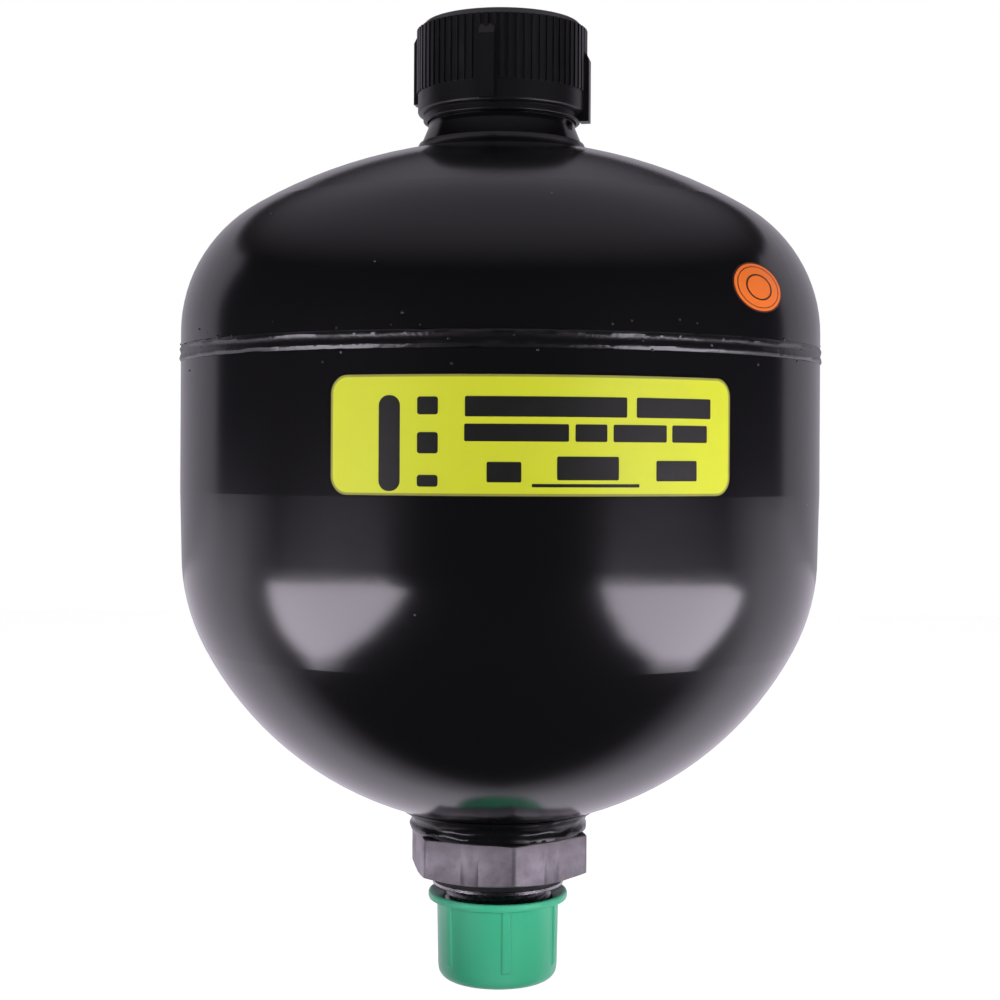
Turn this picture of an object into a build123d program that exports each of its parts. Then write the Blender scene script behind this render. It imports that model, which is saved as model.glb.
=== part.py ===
from build123d import *
import math
import os
from typing import NamedTuple

# A weld-type diaphragm accumulator, in mm. +Z runs up the vessel's axis from the fluid
# port to the gas port. The origin is the centre of the port's sealing face, under its hex.
# Azimuths are degrees round +Z from -Y, positive towards +X.


class HeadForm(NamedTuple):
    """Outside of a deep-drawn half: a crown arc, a knuckle arc, a drafted wall and a straight wall."""

    mouth_r: float
    draft: float        # how far the wall narrows down to the knuckle, over draft_h
    draft_h: float
    knuckle_r: float
    crown_over: float   # how much larger the crown's radius is than the wall's
    wall_h: float

    def tangent_r(self):
        """Radius where the wall meets the knuckle."""
        return self.mouth_r - self.draft

    def crown_r(self):
        """Radius of the crown arc."""
        return self.tangent_r() + self.crown_over

    def depth(self):
        """Depth of the head from its pole to the start of the wall."""
        centres = self.crown_r() - self.knuckle_r
        return self.crown_r() - math.sqrt(centres**2 - (self.tangent_r() - self.knuckle_r) ** 2)

    def rise(self, radius):
        """Height of the crown above its pole at a radius."""
        return self.crown_r() - math.sqrt(self.crown_r() ** 2 - radius**2)

    def height(self):
        """Height of the whole half from its pole to its rim."""
        return self.depth() + self.wall_h


# ---- vessel
VESSEL_R = 80.0
WALL = 5.0
LOWER = HeadForm(VESSEL_R, 0.4, 15.5, 49.7, 3.8, 49.05)
UPPER = HeadForm(VESSEL_R, 0.0, 1.0, 35.9, 41.3, 5.7)
BEVEL_W = 4.0           # width of the girth weld's groove at the outside
ROOT_W = 1.2            # and at its root
BEAD_PROUD = 0.45       # how far the girth weld stands proud of the wall

# ---- fluid port, turned from hexagon bar
HEX_AF = 41.0
HEX_H = 10.3
HEX_CHAMFER = 0.9       # height of the turned chamfer at the corners under the hex
HEX_AZIMUTH = 10.0      # of one corner
NECK_STEP = 1.0         # the neck is this much inside the flats of the hex
PORT_NECK_H = 2.3       # from the hex to the pole of the lower shell
COLLAR_STEP = 3.5       # the collar is this much larger than the stud
COLLAR_H = 3.1
LAND_STEP = 0.4         # the lower land of the collar is this much smaller
LOW_LAND_H = 1.1        # from the collar's lower face up to the seal groove
SEAL_GROOVE_W = 1.1
SEAL_GROOVE_DEPTH = 1.8
SEAL_RECESS = 0.3       # the seal ring lies this far inside the upper land
STUD_R = 13.5
STUD_L = 21.6           # below the collar
STUD_CHAMFER = 1.0
RELIEF_W = 0.7
RELIEF_DEPTH = 0.8
OIL_BORE_R = 7.0
PORT_WELD_REACH = 4.9   # how far the weld runs out on the shell beyond the neck
PORT_WELD_LIP = 1.9     # and on the hex
PORT_WELD_BULGE = 0.5   # the lip swells this much beyond its edge

# ---- poppet button that shuts the port when the oil side is empty
BUTTON_LAP = 5.0        # the button covers this much of the seat round the oil bore
BUTTON_T = 3.2
BUTTON_SIDE_GAP = 0.8
BUTTON_SEAT_DROP = 2.5  # from the inner pole of the shell down to the button's seat
STEM_R = 3.4
STEM_FIT = 0.05
WASHER_W = 4.6
WASHER_T = 2.2
RIVET_LAP = 1.2         # the riveted end spreads this far over the washer
RIVET_T = 1.2

# ---- diaphragm and the rings that hold its bead
MEMBRANE_T = 2.4
MEMBRANE_GAP = 0.3      # between the membrane and the lower shell
SHOULDER_RUN = 1.0      # straight run at each end of the membrane's step in to the rings
PAD_T = 3.6
REBATE = 1.0            # depth of the machined rebate inside both rims
LEDGE_DROP = 16.6       # from the girth weld down to the ledge of the rebate
RING_W = 4.6
SEAT_RING_H = 4.6
CLAMP_BODY_H = 5.0
CLAMP_SKIRT_W = 2.4
CLAMP_LAP = 5.0         # how far the clamp ring's skirt reaches above the weld
BEAD_D = 3.8
RING_EDGE = 0.6

# ---- gas boss
BOSS_BORE_R = 14.05
BOSS_WALL = 4.55
BOSS_FLARE = 2.3        # the foot is this much larger than the top
BOSS_SINK = 1.0         # the foot starts this far below the upper shell's pole
BOSS_TAPER_H = 4.6      # from the upper shell's pole to the top of the tapered neck
BOSS_H = 28.3           # from the pole to the boss's top face
BOSS_SPIGOT_WALL = 2.95
BOSS_EDGE = 1.0
BORE_DEPTH = 20.0
GAS_PASSAGE_R = 3.0
BOSS_WELD_REACH = 3.4
BOSS_WELD_H = 2.6

# ---- charging screw
THREAD_FIT = 0.05
SCREW_DROP = 1.5        # from the boss's top face down to the screw
SCREW_EDGE = 1.0
SOCKET_AF = 14.0
SOCKET_DEPTH = 9.0
VENT_W = 2.0
VENT_DEPTH = 1.2
RING_IN_R = 4.65
RING_OUT_R = 6.65
RING_T = 1.0
SPIGOT_FIT = 0.05
SPIGOT_SHORT = 0.2      # the screw's spigot ends this far above the floor

# ---- black screw cap
CAP_GAP = 0.3           # between the cap and the boss
CAP_WALL = 2.4
CAP_H = 23.0
CAP_ROOF = 2.4
CAP_EDGE = 1.6
CAP_MOUTH_BEAD = 1.0
CAP_SLEEVE_W = 1.0      # inner sleeve that stands out below the mouth
CAP_SLEEVE_H = 1.8
CAP_SKIRT_H = 5.4       # smooth band below the fine ribs
FINE_RIBS = 68
FINE_RIB_W = 1.1
FINE_RIB_PROUD = 0.35
LUGS = 4
LUG_AZIMUTH = -100.0
LUG_W = 3.8
LUG_L = 18.0
LUG_PROUD = 1.2
LUG_SLOPE = 2.4
LUG_FALL = 5.4          # the lugs lie on a slant, this much lower on one side

# ---- green thread protector
CUP_GAP = 0.3           # between the protector and the stud
CUP_WALL = 1.6
CUP_DRAFT = 0.4
CUP_FLOOR = 2.4
CUP_STAND_OFF = 1.9     # from the collar down to the protector's mouth
CUP_CORNER = 3.6
FLANGE_PROUD = 2.2
FLANGE_T = 2.0
CUP_RIBS = 6
CUP_RIB_AZIMUTH = 8.0
CUP_RIB_W = 2.2
CUP_RIB_PROUD = 0.45
CUP_RIB_SHORT = 4.4     # the ribs stop this far above the bottom

# ---- stickers
FILM_T = 0.08
LABEL_AZIMUTH = 6.0
LABEL_ARC = 65.8
LABEL_DROP = 20.4       # from the girth weld down to the label's middle
LABEL_H = 25.6
LABEL_CORNER = 4.0
SPOT_AZIMUTH = 47.0
SPOT_RISE = 13.4        # from the girth weld up to the sticker's middle
SPOT_H = 11.4
SPOT_W = 20.0


# ---- levels that follow from the sizes above
LOWER_POLE_Z = HEX_H + PORT_NECK_H
GIRTH_Z = LOWER_POLE_Z + LOWER.height()
UPPER_POLE_Z = GIRTH_Z + UPPER.height()
HEX_CORNER_R = HEX_AF / math.sqrt(3)
PORT_NECK_R = HEX_AF / 2 - NECK_STEP
COLLAR_R = STUD_R + COLLAR_STEP
SEAL_GROOVE_Z = LOW_LAND_H - COLLAR_H
STUD_END_Z = -COLLAR_H - STUD_L
BUTTON_R = OIL_BORE_R + BUTTON_LAP
WASHER_R = STEM_R + WASHER_W
RIVET_R = STEM_R + RIVET_LAP
PAD_R = BUTTON_R
SHELL_BORE_R = VESSEL_R - WALL
RIM_BORE_R = SHELL_BORE_R + REBATE
LEDGE_Z = GIRTH_Z - LEDGE_DROP
BEAD_Z = LEDGE_Z + SEAT_RING_H
RING_BORE_R = RIM_BORE_R - RING_W
BEAD_R = RIM_BORE_R - RING_W / 2
BUTTON_SEAT_Z = LOWER_POLE_Z + WALL - BUTTON_SEAT_DROP
PAD_Z = BUTTON_SEAT_Z + BUTTON_T
BOSS_TOP_R = BOSS_BORE_R + BOSS_WALL
BOSS_FOOT_R = BOSS_TOP_R + BOSS_FLARE
BOSS_SPIGOT_R = BOSS_BORE_R + BOSS_SPIGOT_WALL
BOSS_TOP_Z = UPPER_POLE_Z + BOSS_H
BORE_FLOOR_Z = BOSS_TOP_Z - BORE_DEPTH
SCREW_R = BOSS_BORE_R - THREAD_FIT
SCREW_TOP_Z = BOSS_TOP_Z - SCREW_DROP
CAP_TOP_Z = BOSS_TOP_Z + CAP_ROOF
CAP_BOTTOM_Z = CAP_TOP_Z - CAP_H
CAP_BORE_R = BOSS_TOP_R + CAP_GAP
CAP_R = CAP_BORE_R + CAP_WALL
CUP_BORE_R = STUD_R + CUP_GAP
CUP_R = CUP_BORE_R + CUP_WALL
CUP_TOP_Z = -COLLAR_H - CUP_STAND_OFF
CUP_BOTTOM_Z = STUD_END_Z - CUP_FLOOR
FLANGE_R = CUP_R + FLANGE_PROUD
LABEL_Z = GIRTH_Z - LABEL_DROP
SPOT_Z = GIRTH_Z + SPOT_RISE


def bearing(radius, azimuth):
    """Point on a circle round the axis, at an azimuth."""
    turn = math.radians(azimuth - 90)
    return radius * math.cos(turn), radius * math.sin(turn)


def arc_about(centre, start, end):
    """Short arc from start to end round a centre."""
    mid = (Vector(*start) + Vector(*end)) * 0.5 - Vector(*centre)
    radius = (Vector(*start) - Vector(*centre)).length
    return ThreePointArc(start, Vector(*centre) + mid.normalized() * radius, end)


def turned(*outline):
    """Solid turned round +Z from an outline in radius and height."""
    edges = [edge for piece in outline for edge in piece.edges()]
    return revolve(Plane.XZ * make_face(edges), Axis.Z)


def turned_points(*points):
    """Solid turned round +Z from corner points in radius and height."""
    return turned(Polyline(*points, close=True))


def ring(inner_r, outer_r, low, high):
    """Plain ring round +Z."""
    return turned_points((inner_r, low), (outer_r, low), (outer_r, high), (inner_r, high))


def post(radius, low, high):
    """Plain round post on the axis."""
    return Pos(0, 0, low) * Cylinder(radius, high - low, align=(Align.CENTER, Align.CENTER, Align.MIN))


def hex_post(across_flats, low, high, azimuth):
    """Hexagonal post on the axis, with one corner at an azimuth."""
    outline = RegularPolygon(across_flats / 2, 6, major_radius=False)
    corner = outline.vertices().sort_by(Axis.X)[-1]
    lean = math.degrees(math.atan2(corner.Y, corner.X))
    return Pos(0, 0, low) * extrude(Rot(0, 0, azimuth - 90 - lean) * outline, high - low)


def drawn_form(form, height, inset=0.0):
    """Filled form of a drawn half, pole down at z 0, with its surface moved in by inset."""
    depth, tangent_r, crown_r = form.depth(), form.tangent_r(), form.crown_r()
    crown_c = (0, crown_r)
    knuckle_c = (tangent_r - form.knuckle_r, depth)
    reach = (crown_r - inset) / (crown_r - form.knuckle_r)
    meet = (knuckle_c[0] * reach, crown_r + (depth - crown_r) * reach)
    pole = (0, inset)
    shoulder = (tangent_r - inset, depth)
    wall = (form.mouth_r - inset, depth + form.draft_h)
    return turned(
        arc_about(crown_c, pole, meet),
        arc_about(knuckle_c, meet, shoulder),
        Polyline(shoulder, wall, (form.mouth_r - inset, height), (0, height), pole),
    )


def lower_form(inset=0.0, top=GIRTH_Z):
    """Filled form of the lower half up to a level."""
    return Pos(0, 0, LOWER_POLE_Z) * drawn_form(LOWER, top - LOWER_POLE_Z, inset)


def upper_form(inset=0.0, bottom=GIRTH_Z):
    """Filled form of the upper half down to a level."""
    return Pos(0, 0, UPPER_POLE_Z) * Rot(180, 0, 0) * drawn_form(UPPER, UPPER_POLE_Z - bottom, inset)


def girth_weld():
    """Weld that fills the bevelled groove between the shells, with a slightly proud bead."""
    toe_low = (VESSEL_R, GIRTH_Z - BEVEL_W / 2)
    toe_high = (VESSEL_R, GIRTH_Z + BEVEL_W / 2)
    root_low = (RIM_BORE_R, GIRTH_Z - ROOT_W / 2)
    root_high = (RIM_BORE_R, GIRTH_Z + ROOT_W / 2)
    bead = ThreePointArc(toe_low, (VESSEL_R + BEAD_PROUD, GIRTH_Z), toe_high)
    return turned(bead, Polyline(toe_high, root_high, root_low, toe_low))


def lower_shell():
    """Deep-drawn lower half with the port's hole and the rebate for the diaphragm's rings."""
    shell = lower_form() - lower_form(WALL) - post(PORT_NECK_R, 0, LEDGE_Z)
    return shell - post(RIM_BORE_R, LEDGE_Z, GIRTH_Z) - girth_weld()


def upper_shell():
    """Deep-drawn upper half with the gas boss's hole."""
    shell = upper_form() - upper_form(WALL) - post(BOSS_SPIGOT_R, GIRTH_Z, BOSS_TOP_Z)
    return shell - post(RIM_BORE_R, GIRTH_Z, GIRTH_Z + CLAMP_LAP) - girth_weld()


def fluid_port():
    """Hex port with a grooved collar, a threaded stud and the seat for the poppet button."""
    low_land_r = COLLAR_R - LAND_STEP
    chamfered = turned_points(
        (0, 0),
        (HEX_AF / 2, 0),
        (HEX_CORNER_R, HEX_CHAMFER),
        (HEX_CORNER_R, HEX_H),
        (0, HEX_H),
    )
    body = hex_post(HEX_AF, 0, HEX_H, HEX_AZIMUTH) & chamfered
    body += post(PORT_NECK_R, HEX_H, LEDGE_Z) - lower_form(WALL)
    body += post(COLLAR_R, SEAL_GROOVE_Z, 0) + post(low_land_r, -COLLAR_H, SEAL_GROOVE_Z)
    groove_top = SEAL_GROOVE_Z + SEAL_GROOVE_W
    body -= ring(COLLAR_R - SEAL_GROOVE_DEPTH, COLLAR_R + SEAL_GROOVE_DEPTH, SEAL_GROOVE_Z, groove_top)
    stud_top = -COLLAR_H - RELIEF_W
    body += post(STUD_R - RELIEF_DEPTH, stud_top, -COLLAR_H)
    body += turned_points(
        (0, stud_top),
        (STUD_R, stud_top),
        (STUD_R, STUD_END_Z + STUD_CHAMFER),
        (STUD_R - STUD_CHAMFER, STUD_END_Z),
        (0, STUD_END_Z),
    )
    body -= post(OIL_BORE_R, STUD_END_Z, LEDGE_Z)
    return body - post(BUTTON_R + BUTTON_SIDE_GAP, BUTTON_SEAT_Z, LEDGE_Z)


def fluid_port_weld():
    """Weld round the port's neck: a bulging lip on the hex that sweeps out on to the shell."""
    lip_r = PORT_NECK_R + PORT_WELD_LIP
    toe_r = PORT_NECK_R + PORT_WELD_REACH
    toe_z = LOWER_POLE_Z + LOWER.rise(toe_r)
    toe = (toe_r, toe_z)
    waist = (lip_r + PORT_WELD_BULGE / 2, HEX_H + PORT_NECK_H / 2)
    outline = turned(
        Line((PORT_NECK_R, HEX_H), (lip_r, HEX_H)),
        ThreePointArc((lip_r, HEX_H), (lip_r + PORT_WELD_BULGE, HEX_H + PORT_NECK_H / 4), waist),
        ThreePointArc(waist, (lip_r + 2 * PORT_WELD_BULGE, (HEX_H + toe_z) / 2), toe),
        Polyline(toe, (PORT_NECK_R, toe_z), (PORT_NECK_R, HEX_H)),
    )
    return outline - lower_form()


def port_seal():
    """Elastomer ring in the collar's groove."""
    outer_r = COLLAR_R - SEAL_RECESS
    return ring(COLLAR_R - SEAL_GROOVE_DEPTH, outer_r, SEAL_GROOVE_Z, SEAL_GROOVE_Z + SEAL_GROOVE_W)


def poppet_button():
    """Disc that covers the oil bore, with its stem and riveted end."""
    stem_top = PAD_Z + PAD_T + WASHER_T
    button = post(BUTTON_R, BUTTON_SEAT_Z, PAD_Z)
    button = chamfer(button.edges().sort_by(Axis.Z)[0], BUTTON_T / 8)
    return button + post(STEM_R, PAD_Z, stem_top) + post(RIVET_R, stem_top, stem_top + RIVET_T)


def poppet_washer():
    """Washer on the gas side that grips the diaphragm's pad."""
    return ring(STEM_R, WASHER_R, PAD_Z + PAD_T, PAD_Z + PAD_T + WASHER_T)


def bead_torus():
    """The diaphragm's round bead."""
    return Pos(0, 0, BEAD_Z) * Torus(BEAD_R, BEAD_D / 2)


def diaphragm_seat_ring():
    """Lower ring: it stands on the shell's ledge, carries the bead and lets the membrane out inwards."""
    web_z = BEAD_Z - MEMBRANE_T / 2
    body = turned_points(
        (RING_BORE_R, LEDGE_Z + RING_EDGE),
        (RING_BORE_R + RING_EDGE, LEDGE_Z),
        (RIM_BORE_R - RING_EDGE, LEDGE_Z),
        (RIM_BORE_R, LEDGE_Z + RING_EDGE),
        (RIM_BORE_R, BEAD_Z),
        (BEAD_R, BEAD_Z),
        (BEAD_R, web_z),
        (RING_BORE_R + 2 * RING_EDGE, web_z),
        (RING_BORE_R, web_z - 2 * RING_EDGE),
    )
    return body - bead_torus()


def diaphragm_clamp_ring():
    """Upper ring: it presses on the bead and backs the girth weld with its skirt."""
    web_z = BEAD_Z + MEMBRANE_T / 2
    body_top = BEAD_Z + CLAMP_BODY_H
    skirt_r = RIM_BORE_R - CLAMP_SKIRT_W
    body = turned_points(
        (BEAD_R, BEAD_Z),
        (RIM_BORE_R, BEAD_Z),
        (RIM_BORE_R, GIRTH_Z + CLAMP_LAP - RING_EDGE),
        (RIM_BORE_R - RING_EDGE, GIRTH_Z + CLAMP_LAP),
        (skirt_r, GIRTH_Z + CLAMP_LAP),
        (skirt_r, body_top + CLAMP_SKIRT_W),
        (RING_BORE_R, body_top),
        (RING_BORE_R, web_z + RING_EDGE),
        (RING_BORE_R + RING_EDGE, web_z),
        (BEAD_R, web_z),
    )
    return body - bead_torus()


def diaphragm():
    """Moulded membrane lying on the lower shell, its bead between the rings, its pad on the button."""
    outer_r = SHELL_BORE_R - MEMBRANE_GAP
    inner_r = outer_r - MEMBRANE_T
    throat_r = RING_BORE_R - MEMBRANE_GAP
    wall_top = LEDGE_Z - 2 * MEMBRANE_T
    outset = WALL + MEMBRANE_GAP
    wall = lower_form(outset, wall_top) - lower_form(outset + MEMBRANE_T, wall_top)
    low_web, high_web = BEAD_Z - MEMBRANE_T / 2, BEAD_Z + MEMBRANE_T / 2
    under = FilletPolyline(
        (outer_r, wall_top),
        (outer_r, wall_top + SHOULDER_RUN),
        (throat_r, LEDGE_Z - SHOULDER_RUN),
        (throat_r, low_web),
        (BEAD_R, low_web),
        radius=MEMBRANE_T / 4,
    )
    over = FilletPolyline(
        (BEAD_R, high_web),
        (throat_r - MEMBRANE_T, high_web),
        (throat_r - MEMBRANE_T, LEDGE_Z - 2 * SHOULDER_RUN),
        (inner_r, wall_top),
        radius=MEMBRANE_T / 2,
    )
    shoulder = turned(under, Line((BEAD_R, low_web), (BEAD_R, high_web)), over,
                      Line((inner_r, wall_top), (outer_r, wall_top)))
    pad = post(PAD_R, PAD_Z, PAD_Z + PAD_T)
    body = wall - post(PAD_R, LOWER_POLE_Z, PAD_Z) + pad + shoulder + bead_torus()
    return body - post(STEM_R + STEM_FIT, LOWER_POLE_Z, BEAD_Z)


def gas_boss():
    """Turned boss set through the upper shell, with the charging screw's bore and gas passage."""
    taper_z = UPPER_POLE_Z + BOSS_TAPER_H
    neck = turned_points(
        (0, GIRTH_Z),
        (BOSS_FOOT_R, GIRTH_Z),
        (BOSS_FOOT_R, UPPER_POLE_Z - BOSS_SINK),
        (BOSS_TOP_R, taper_z),
        (BOSS_TOP_R, BOSS_TOP_Z - BOSS_EDGE),
        (BOSS_TOP_R - BOSS_EDGE, BOSS_TOP_Z),
        (0, BOSS_TOP_Z),
    )
    body = neck - upper_form()
    body += post(BOSS_SPIGOT_R, GIRTH_Z, UPPER_POLE_Z) - upper_form(WALL)
    body -= post(BOSS_BORE_R, BORE_FLOOR_Z, BOSS_TOP_Z)
    return body - post(GAS_PASSAGE_R, GIRTH_Z, BORE_FLOOR_Z)


def gas_boss_weld():
    """Hollow fillet weld in the corner between the boss and the upper shell."""
    foot_z = UPPER_POLE_Z - BOSS_SINK
    toe_r = BOSS_FOOT_R + BOSS_WELD_REACH
    top = (BOSS_FOOT_R, foot_z + BOSS_WELD_H / 2)
    fill = turned(
        ThreePointArc((toe_r, foot_z - BOSS_WELD_H / 2), (BOSS_FOOT_R + BOSS_WELD_REACH / 4, foot_z), top),
        Polyline(top, (BOSS_SPIGOT_R, foot_z + BOSS_WELD_H / 2), (BOSS_SPIGOT_R, foot_z - BOSS_WELD_H),
                 (toe_r, foot_z - BOSS_WELD_H), (toe_r, foot_z - BOSS_WELD_H / 2)),
    )
    return fill - upper_form() - gas_boss()


def charging_screw():
    """Flush hex-socket screw with a vent groove down its thread and a spigot for its seal ring."""
    bottom_z = BORE_FLOOR_Z + RING_T
    body = chamfer(post(SCREW_R, bottom_z, SCREW_TOP_Z).edges().filter_by(GeomType.CIRCLE), SCREW_EDGE)
    body += post(RING_IN_R - SPIGOT_FIT, BORE_FLOOR_Z + SPIGOT_SHORT, bottom_z)
    body -= hex_post(SOCKET_AF, SCREW_TOP_Z - SOCKET_DEPTH, SCREW_TOP_Z, 0)
    drill_depth = SOCKET_AF / 6
    drill = Cone(0, SOCKET_AF / 2, drill_depth, align=(Align.CENTER, Align.CENTER, Align.MAX))
    body -= Pos(0, 0, SCREW_TOP_Z - SOCKET_DEPTH) * drill
    vent = Box(VENT_DEPTH * 2, VENT_W, SCREW_TOP_Z - BORE_FLOOR_Z, align=(Align.CENTER, Align.CENTER, Align.MIN))
    return body - Pos(SCREW_R, 0, BORE_FLOOR_Z) * vent


def charging_screw_seal():
    """Flat seal ring round the gas passage."""
    return ring(RING_IN_R, RING_OUT_R, BORE_FLOOR_Z, BORE_FLOOR_Z + RING_T)


def cap_lug(azimuth, top_z):
    """Grip lug up the cap's side, with its top cut away on a slope."""
    depth = (CAP_R - CAP_BORE_R) / 2 + LUG_PROUD
    side = Polyline(
        (CAP_R + LUG_PROUD, top_z - LUG_L),
        (CAP_R + LUG_PROUD, top_z - LUG_SLOPE),
        (CAP_R, top_z),
        (CAP_R + LUG_PROUD - depth, top_z),
        (CAP_R + LUG_PROUD - depth, top_z - LUG_L),
        close=True,
    )
    bar = extrude(Plane.XZ * make_face(side), LUG_W / 2, both=True)
    return Rot(0, 0, azimuth - 90) * bar


def gas_cap():
    """Moulded screw cap over the gas boss: fine ribs, four grip lugs, a beaded mouth and a sleeve."""
    body = turned_points(
        (0, CAP_BOTTOM_Z),
        (CAP_R, CAP_BOTTOM_Z),
        (CAP_R, CAP_TOP_Z - CAP_EDGE),
        (CAP_R - CAP_EDGE, CAP_TOP_Z),
        (0, CAP_TOP_Z),
    )
    body = fillet(body.edges().filter_by(GeomType.CIRCLE).sort_by(Axis.Z)[0], CAP_MOUTH_BEAD)
    rib_low = CAP_BOTTOM_Z + CAP_SKIRT_H
    rib_h = CAP_TOP_Z - CAP_EDGE - rib_low
    rib = Box(FINE_RIB_PROUD * 2, FINE_RIB_W, rib_h, align=(Align.CENTER, Align.CENTER, Align.MIN))
    ribs = [Rot(0, 0, 360 * k / FINE_RIBS) * Pos(CAP_R, 0, rib_low) * rib for k in range(FINE_RIBS)]
    body += ribs
    for k in range(LUGS):
        turn = 360 * k / LUGS
        fall = LUG_FALL * (1 - math.cos(math.radians(turn))) / 2
        body += cap_lug(LUG_AZIMUTH + turn, CAP_TOP_Z - CAP_EDGE - fall)
    sleeve = post(CAP_BORE_R + CAP_SLEEVE_W, CAP_BOTTOM_Z - CAP_SLEEVE_H, CAP_BOTTOM_Z)
    body += fillet(sleeve.edges().filter_by(GeomType.CIRCLE).sort_by(Axis.Z)[0], CAP_SLEEVE_W / 2)
    return body - post(CAP_BORE_R, CAP_BOTTOM_Z - LUG_L, BOSS_TOP_Z)


def thread_protector():
    """Moulded cup pushed over the stud, with a flared mouth and ribs down its side."""
    outside = turned_points(
        (0, CUP_BOTTOM_Z),
        (CUP_R - CUP_DRAFT, CUP_BOTTOM_Z),
        (CUP_R, CUP_TOP_Z),
        (0, CUP_TOP_Z),
    )
    outside = fillet(outside.edges().filter_by(GeomType.CIRCLE).sort_by(Axis.Z)[0], CUP_CORNER)
    rib_low = CUP_BOTTOM_Z + CUP_RIB_SHORT
    rib = Box(
        2 * CUP_RIB_PROUD + 2 * CUP_DRAFT,
        CUP_RIB_W,
        CUP_TOP_Z - rib_low,
        align=(Align.CENTER, Align.CENTER, Align.MIN),
    )
    for k in range(CUP_RIBS):
        azimuth = CUP_RIB_AZIMUTH + 360 * k / CUP_RIBS
        outside += Pos(*bearing(CUP_R - CUP_DRAFT, azimuth), rib_low) * Rot(0, 0, azimuth - 90) * rib
    flange = post(FLANGE_R, CUP_TOP_Z - FLANGE_T, CUP_TOP_Z)
    flange = fillet(flange.edges().filter_by(GeomType.CIRCLE), FLANGE_T / 2.5)
    flare = Pos(0, 0, CUP_TOP_Z) * Cone(
        CUP_BORE_R, CUP_BORE_R + FLANGE_T / 2, FLANGE_T / 2, align=(Align.CENTER, Align.CENTER, Align.MAX)
    )
    return outside + flange - post(CUP_BORE_R, STUD_END_Z, CUP_TOP_Z) - flare


def stuck_on(film, outline, azimuth, level):
    """Patch of a film that an outline, held up to the wall at an azimuth and level, cuts out."""
    face_on = Plane(
        origin=(*bearing(VESSEL_R / 2, azimuth), level),
        x_dir=(*bearing(1, azimuth + 90), 0),
        z_dir=(*bearing(1, azimuth), 0),
    )
    return film & extrude(face_on * outline, VESSEL_R)


def rating_label():
    """Foil label with rounded corners, wrapped round the wall."""
    film = ring(VESSEL_R, VESSEL_R + FILM_T, LEDGE_Z - LABEL_H, GIRTH_Z)
    chord = 2 * VESSEL_R * math.sin(math.radians(LABEL_ARC / 2))
    return stuck_on(film, RectangleRounded(chord, LABEL_H, LABEL_CORNER), LABEL_AZIMUTH, LABEL_Z)


def round_sticker():
    """Small sticker that follows the upper shell's wall and knuckle."""
    film = upper_form(-FILM_T) - upper_form()
    return stuck_on(film, Ellipse(SPOT_W / 2, SPOT_H / 2), SPOT_AZIMUTH, SPOT_Z)


NODES = (
    lower_shell, upper_shell, girth_weld, fluid_port, fluid_port_weld, port_seal, poppet_button,
    poppet_washer, diaphragm, diaphragm_seat_ring, diaphragm_clamp_ring, gas_boss, gas_boss_weld,
    charging_screw, charging_screw_seal, gas_cap, thread_protector, rating_label, round_sticker,
)

os.makedirs("parts", exist_ok=True)
for make_node in NODES:
    export_step(make_node(), f"parts/{make_node.__name__}.step")
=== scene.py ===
import logging
import math
import random
from collections.abc import Callable, Sequence
from dataclasses import dataclass
from enum import Enum

import bpy
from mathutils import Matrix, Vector, noise


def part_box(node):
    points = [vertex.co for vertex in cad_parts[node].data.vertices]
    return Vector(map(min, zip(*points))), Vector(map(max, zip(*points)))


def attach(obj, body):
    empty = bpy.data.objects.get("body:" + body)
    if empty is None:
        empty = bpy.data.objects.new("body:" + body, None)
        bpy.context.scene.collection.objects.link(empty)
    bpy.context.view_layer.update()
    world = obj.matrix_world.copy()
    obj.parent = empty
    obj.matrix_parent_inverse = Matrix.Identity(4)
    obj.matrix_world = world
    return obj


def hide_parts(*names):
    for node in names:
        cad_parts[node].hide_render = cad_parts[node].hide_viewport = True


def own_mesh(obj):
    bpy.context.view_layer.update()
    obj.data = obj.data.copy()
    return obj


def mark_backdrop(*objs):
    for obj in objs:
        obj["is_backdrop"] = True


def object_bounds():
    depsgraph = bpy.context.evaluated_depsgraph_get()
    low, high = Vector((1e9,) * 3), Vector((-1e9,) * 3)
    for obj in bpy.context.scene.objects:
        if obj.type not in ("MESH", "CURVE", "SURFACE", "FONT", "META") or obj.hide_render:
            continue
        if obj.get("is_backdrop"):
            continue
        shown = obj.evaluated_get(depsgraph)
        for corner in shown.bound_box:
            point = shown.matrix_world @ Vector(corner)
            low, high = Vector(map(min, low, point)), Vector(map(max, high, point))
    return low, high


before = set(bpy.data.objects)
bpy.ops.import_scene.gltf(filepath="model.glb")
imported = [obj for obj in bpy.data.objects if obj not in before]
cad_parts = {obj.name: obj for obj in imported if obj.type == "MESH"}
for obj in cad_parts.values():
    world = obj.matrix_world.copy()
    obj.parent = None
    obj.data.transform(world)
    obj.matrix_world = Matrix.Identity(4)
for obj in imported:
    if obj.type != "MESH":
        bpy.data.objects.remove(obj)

MM = 0.001
log = logging.getLogger("accumulator")

Colour = tuple[float, float, float]
Point = tuple[float, float]
Place = tuple[float, float, float]
Warp = Callable[[float, float, float], Point]


def linear(red: int, green: int, blue: int) -> Colour:
    """Turns a display colour into the linear one that shaders take.

    Args:
        red, green, blue: The display colour, 0 to 255.

    Returns:
        The linear colour, 0 to 1.
    """
    parts = (channel / 255 for channel in (red, green, blue))
    return tuple(c / 12.92 if c <= 0.04045 else ((c + 0.055) / 1.055) ** 2.4 for c in parts)


def spun(turn: float, radius: float, height: float) -> Place:
    """Point at a turn in radians from -Y towards +X, a radius and a height."""
    return radius * math.sin(turn), -radius * math.cos(turn), height


def bearing(azimuth: float) -> Vector:
    """Unit vector away from the axis at an azimuth in degrees."""
    return Vector(spun(math.radians(azimuth), 1, 0))


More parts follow.
